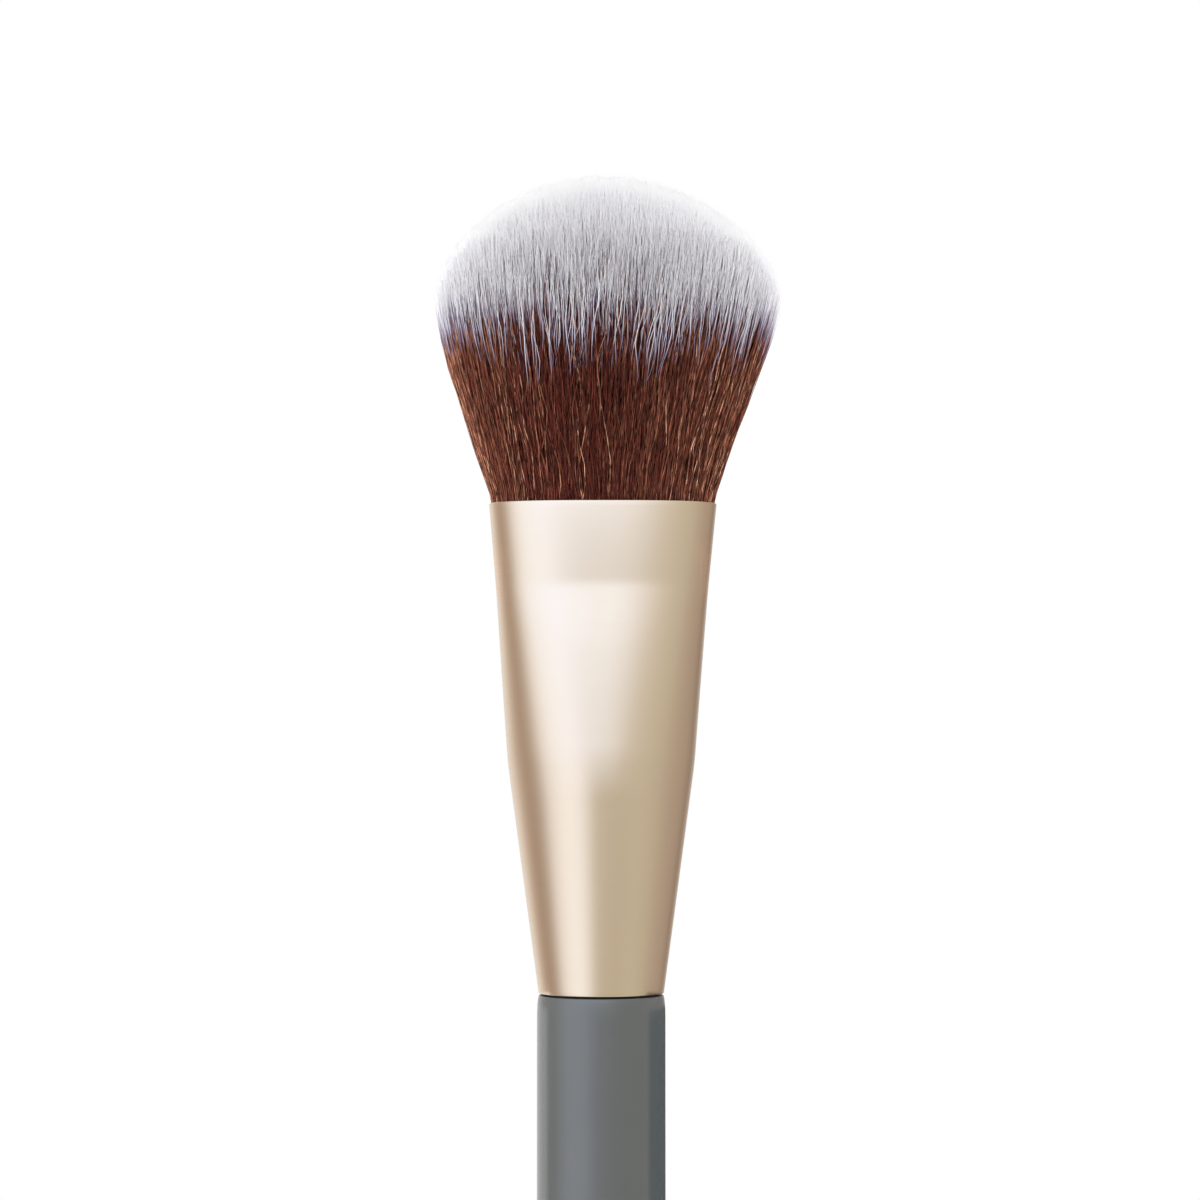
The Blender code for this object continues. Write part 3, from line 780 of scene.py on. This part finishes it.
def tuft_groups(root, outer):
    """Which filaments go into which piece."""
    front, left = root[:, 1] < 0, root[:, 0] < 0
    middle = np.abs(root[:, 0]) < MOUTH_HALF_WIDTH / 2
    groups = {}
    for depth, here in (("front", front), ("back", ~front)):
        groups[f"bristles_{depth}_left"] = outer & here & left & ~middle
        groups[f"bristles_{depth}_middle"] = outer & here & middle
        groups[f"bristles_{depth}_right"] = outer & here & ~left & ~middle
        groups[f"bristles_core_{depth}_left"] = ~outer & here & left
        groups[f"bristles_core_{depth}_right"] = ~outer & here & ~left
    return groups


def make_tuft(material):
    """Outer filaments run down to their roots, and inner ones are drawn only where they can be seen."""
    root, tip, top, lean, gather, sway, spread, undyed = grow_filaments()
    # Towards the right and at both edges more of the filaments are tan: painted light for the backlit glow
    # at the edges and the highlights on the right
    darkness = np.interp(root[:, 0] / MOUTH_HALF_WIDTH, TAN_SIDES, TAN_DARKNESS)
    shades = (SHADES * rng.random(FILAMENTS) ** darkness).astype(int)
    pieces = []
    for name, chosen in tuft_groups(root, spread > SKIN_SHARE).items():
        if "core" in name:
            steps, first = CORE_STEPS, 1 - CORE_LENGTH / top[chosen]
        else:
            steps, first = SKIN_STEPS, -ROOT_DEPTH / top[chosen]
        share = first[:, None] + (1 - first[:, None]) * steps
        rows = [values[chosen] for values in (root, tip, top, lean, gather)]
        paths = filament_paths(*rows, sway[:, chosen], share)
        below_tip = (1 - share) * top[chosen][:, None]
        thick = FILAMENT_RADIUS * rng.uniform(*THICKNESSES, (len(share), 1))
        radii = FILAMENT_TIP_RADIUS + (thick - FILAMENT_TIP_RADIUS) * smooth(below_tip / TAPER_LENGTH)
        chart_place = dye_place(below_tip, undyed[chosen][:, None])
        pieces.append(tubes(name, paths, radii, shades[chosen], chart_place, material))
    return pieces


def area_light(name, place, target, width, height, power):
    lamp = bpy.data.lights.new(name, "AREA")
    lamp.shape = "RECTANGLE"
    lamp.size, lamp.size_y = width, height
    lamp.energy = power
    made = bpy.data.objects.new(name, lamp)
    bpy.context.scene.collection.objects.link(made)
    made.location = place
    made.rotation_euler = (Vector(target) - Vector(place)).to_track_quat("-Z", "Y").to_euler()
    made.visible_camera = False
    made.visible_glossy = False


def from_azimuth(azimuth, elevation, distance, target):
    """A place at this azimuth (0 is the camera's side, positive the right) and elevation from target."""
    a, e = math.radians(azimuth), math.radians(elevation)
    away = Vector((math.sin(a) * math.cos(e), -math.cos(a) * math.cos(e), math.sin(e)))
    return Vector(target) + away * distance


def make_lights():
    """Lamps light the colours. What the metal mirrors is drawn in the world, so it doesn't mirror them."""
    for name, aim, azimuth, elevation, distance, width, height, power in LAMPS:
        area_light(name, from_azimuth(azimuth, elevation, distance, aim), aim, width, height, power)


def around(nodes, turn, stops):
    """A colour for each direction round the brush."""
    node = nodes.add("ValToRGB")
    ramp = node.color_ramp
    while len(ramp.elements) < len(stops):
        ramp.elements.new(0.5)
    for element, (degrees, colour) in zip(ramp.elements, stops):
        element.position = degrees / 360 + 0.5
        element.color = rgb(*colour)
    nodes.put(turn, node.inputs[0])
    return node.outputs["Color"]


def make_world():
    """Plain white for the camera, soft even light on surfaces, and softboxes and a backdrop for gloss."""
    world = bpy.data.worlds.new("studio")
    bpy.context.scene.world = world
    world.use_nodes = True
    nodes = Nodes(world.node_tree)
    background = world.node_tree.nodes["Background"]
    x, y, z = nodes.split(nodes.add("TexCoord").outputs["Generated"])
    turn = nodes.math("ARCTAN2", x, nodes.math("MULTIPLY", y, -1.0))
    turn = nodes.math("ADD", nodes.math("DIVIDE", turn, math.tau), 0.5)
    rise = nodes.ramp(z, *LOW_TO_HIGH, kind="LINEAR")
    room = nodes.mix(rise, around(nodes, turn, LOW_RING), around(nodes, turn, HIGH_RING))
    room = nodes.mix(nodes.ramp(z, *TO_CEILING), room, grey(1.0))
    room = nodes.mix(nodes.ramp(z, *TO_GROUND), room, rgb(*GROUND_COLOUR))
    front = nodes.mix(nodes.ramp(z, *FILL_UP), *(grey(level) for level in FRONT_FILL))
    back = nodes.mix(nodes.ramp(z, *FILL_UP), *(grey(level) for level in BACK_FILL))
    fill = nodes.mix(nodes.ramp(y, *FILL_BACK), front, back)
    rays = nodes.add("LightPath")
    light = nodes.mix(rays.outputs["Is Glossy Ray"], fill, room)
    nodes.put(nodes.mix(nodes.seen(rays), light, grey(1.0)), background.inputs["Color"])
    background.inputs["Strength"].default_value = 1.0


def make_cards():
    """Curved cards close to the handle's two edges, which nothing but gloss shows."""
    for name, start, end, card_top, colour in CARDS:
        turn = np.radians(np.linspace(start, end, CARD_POINTS))
        line = CARD_RADIUS * np.stack([np.sin(turn), -np.cos(turn)], axis=1)
        verts = [(x, y, z) for z in (CARD_FOOT, card_top) for x, y in line.tolist()]
        faces = [(i, i + 1, i + CARD_POINTS + 1, i + CARD_POINTS) for i in range(CARD_POINTS - 1)]
        material, nodes = new_material(name)
        nodes.set(Base_Color=grey(0.0), Specular_IOR_Level=0.0)
        nodes.set(Emission_Color=rgb(*colour), Emission_Strength=1.0)
        card = add_mesh(name, verts, faces, material)
        card.visible_camera = card.visible_diffuse = card.visible_shadow = False


def make_floor():
    """A pale floor that takes the shadow near the brush and turns to plain white further out."""
    turn = np.linspace(0, math.tau, FLOOR_SIDES, endpoint=False)
    rim = np.stack([FLOOR_RADIUS * np.cos(turn), FLOOR_RADIUS * np.sin(turn), np.zeros(FLOOR_SIDES)], axis=1)
    material, nodes = new_material("pale_floor")
    place = nodes.place()
    pattern = nodes.noise(place, FLOOR_SCALE, COARSE)
    paint = nodes.mix(pattern, *(grey(level) for level in FLOOR_GREYS))
    nodes.set(Base_Color=paint, Roughness=FLOOR_ROUGHNESS)
    glow = nodes.add("Emission")
    seen = nodes.seen(nodes.add("LightPath"))
    away = nodes.add("VectorMath", operation="LENGTH")
    nodes.put(place, away.inputs[0])
    white = nodes.math("MULTIPLY", seen, nodes.ramp(away.outputs["Value"], *FLOOR_TO_WHITE))
    blend = nodes.add("MixShader")
    nodes.put(white, blend.inputs[0])
    nodes.put(nodes.shader.outputs[0], blend.inputs[1])
    nodes.put(glow.outputs[0], blend.inputs[2])
    nodes.put(blend.outputs[0], material.node_tree.nodes["Material Output"].inputs["Surface"])
    floor = add_mesh("floor", rim.tolist(), [tuple(range(FLOOR_SIDES))], material)
    floor.visible_glossy = False


def make_camera():
    camera = bpy.data.cameras.new("camera")
    camera.sensor_width = SENSOR
    camera.lens = LENS
    made = bpy.data.objects.new("camera", camera)
    bpy.context.scene.collection.objects.link(made)
    made.location = (CAMERA_SIDE, -CAMERA_DISTANCE, CAMERA_HEIGHT)
    made.rotation_euler = (math.pi / 2 + CAMERA_PITCH, 0, 0)
    bpy.context.scene.camera = made


def wear(node, material):
    """Gives a CAD node its finished material."""
    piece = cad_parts[node]
    piece.data.materials.clear()
    piece.data.materials.append(material)


def main():
    bpy.context.scene.view_settings.view_transform = "Standard"
    make_camera()
    make_world()
    make_lights()
    make_cards()
    make_floor()
    handle = make_handle(lacquer_material())
    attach(handle, "root")
    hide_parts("handle")
    resin = streaked_material("casting_resin", STREAK_SCALE, RESIN_COLOURS, RESIN_ROUGHNESS)
    wear("potting_resin", resin)
    glue = streaked_material("set_adhesive", GLUE_SCALE, GLUE_COLOURS, GLUE_ROUGHNESS)
    wear("tenon_glue", glue)
    ferrule = make_ferrule(champagne_material())
    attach(ferrule, "root")
    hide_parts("ferrule")
    for piece in make_tuft(filament_material()):
        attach(piece, "root")
        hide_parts("bristle_tuft")


main()
